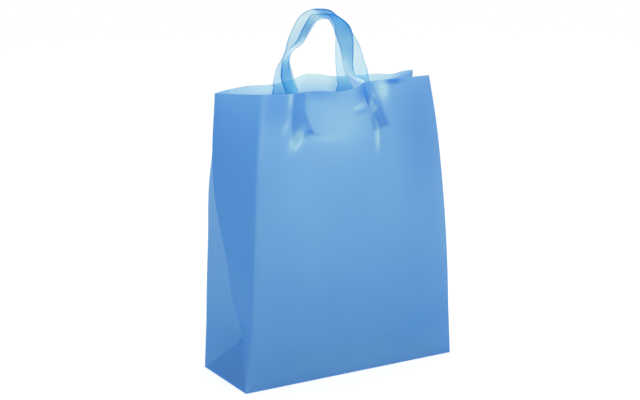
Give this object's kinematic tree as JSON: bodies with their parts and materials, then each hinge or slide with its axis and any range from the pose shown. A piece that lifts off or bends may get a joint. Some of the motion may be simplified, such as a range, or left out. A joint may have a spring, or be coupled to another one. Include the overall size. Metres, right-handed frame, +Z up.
{
  "type": "plastic carrier bag",
  "caption": "Gusseted square-bottom carrier bag of frosted plastic film with soft film loop handles and a stiff bottom board, standing open.",
  "frame": {"origin": "centre of the rectangular base, on the surface that the bag stands on", "axes": "+Z up, -Y out of the front panel, +X to the right of someone who faces the front panel"},
  "size_m": [0.4413, 0.1748, 0.606],
  "materials": {
    "frosted_film": "frosted translucent blue polyethylene film",
    "handle_film": "single and gathered layers of the same blue film",
    "grey_board": "uncoated grey board"
  },
  "bodies": {
    "root": {"bag_film": "frosted_film", "front_handle": "handle_film", "rear_handle": "handle_film", "base_board": "grey_board"}
  },
  "joints": []
}
